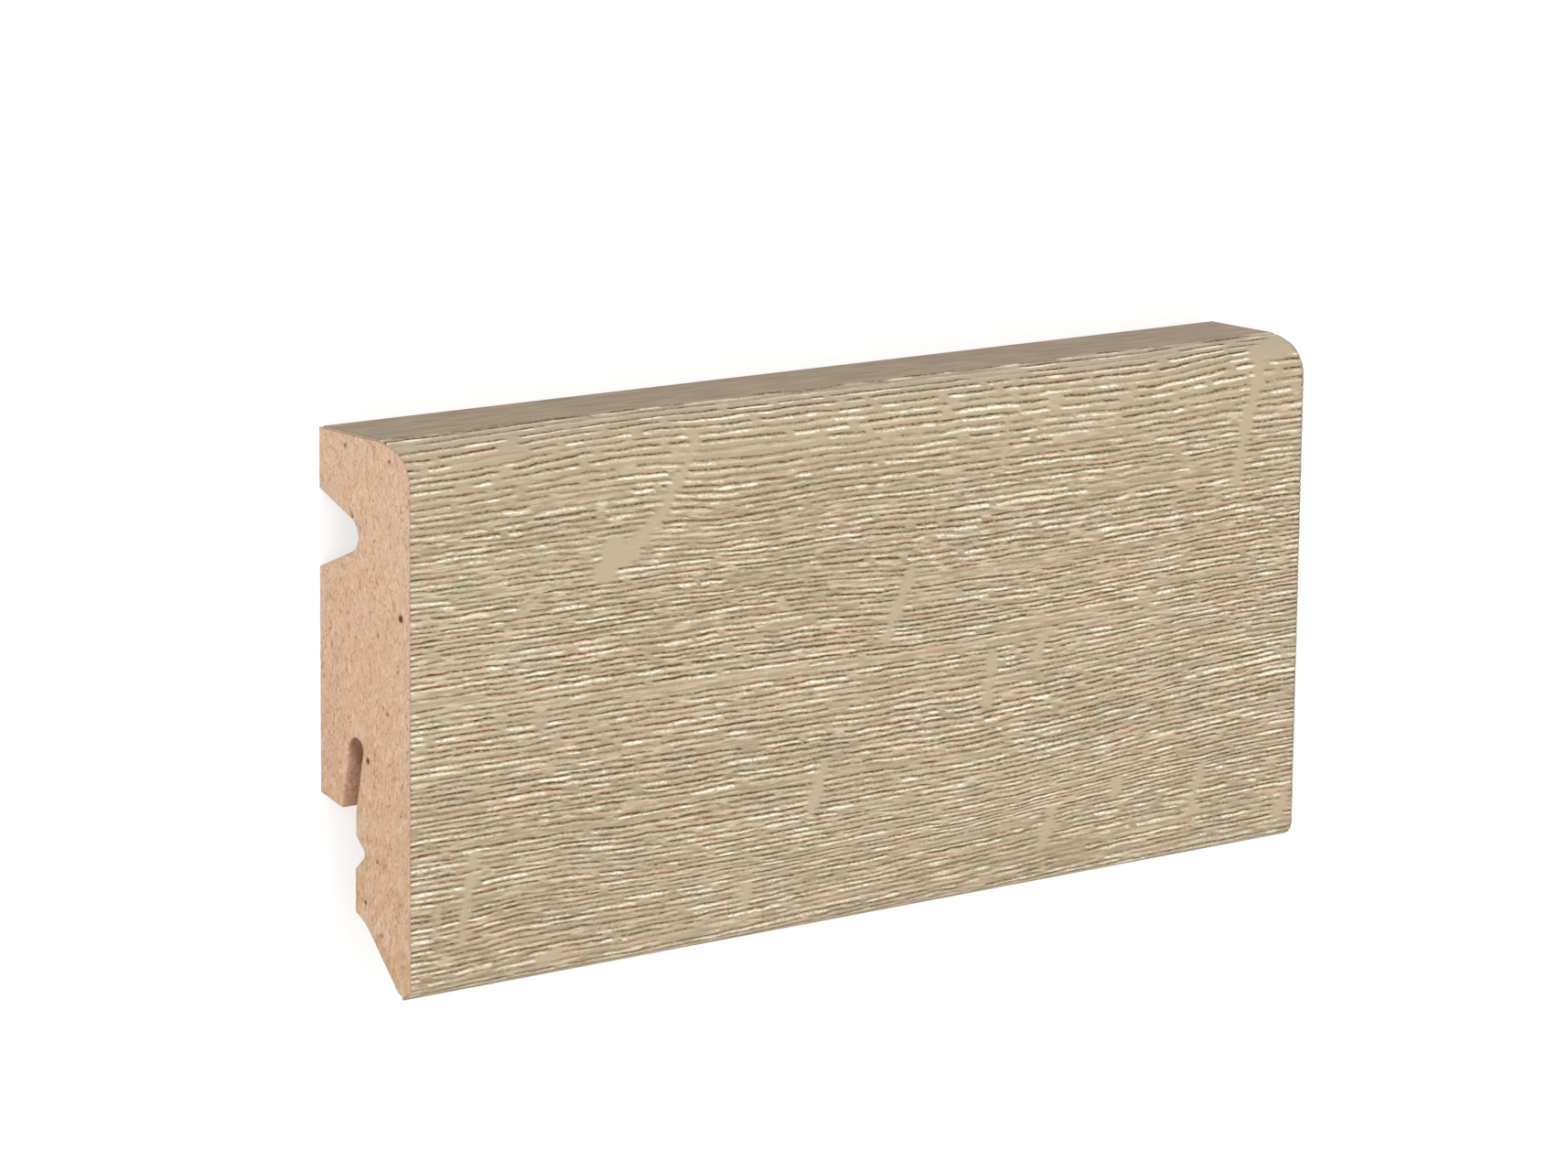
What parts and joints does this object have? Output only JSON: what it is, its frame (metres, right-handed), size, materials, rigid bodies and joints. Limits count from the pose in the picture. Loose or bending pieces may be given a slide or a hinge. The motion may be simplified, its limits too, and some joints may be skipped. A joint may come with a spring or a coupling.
{
  "type": "skirting board length",
  "caption": "Short length of fibreboard skirting with a wood-look decor foil, a rounded top edge, a tapered toe, and a clip slot and groove milled in its wall side.",
  "frame": {"origin": "middle of the board's length and height, on the plane of its wall side, which lies on the ground", "axes": "+X along the board, +Y from the floor edge towards the top edge, +Z from the wall side towards the decor face"},
  "size_m": [0.128, 0.06, 0.017],
  "materials": {
    "mdf": "raw sawn and milled fibreboard",
    "decor": "matt brushed-oak decor foil with embossed grain"
  },
  "bodies": {
    "root": {"mdf_core": "mdf", "decor_foil": "decor"}
  },
  "joints": []
}
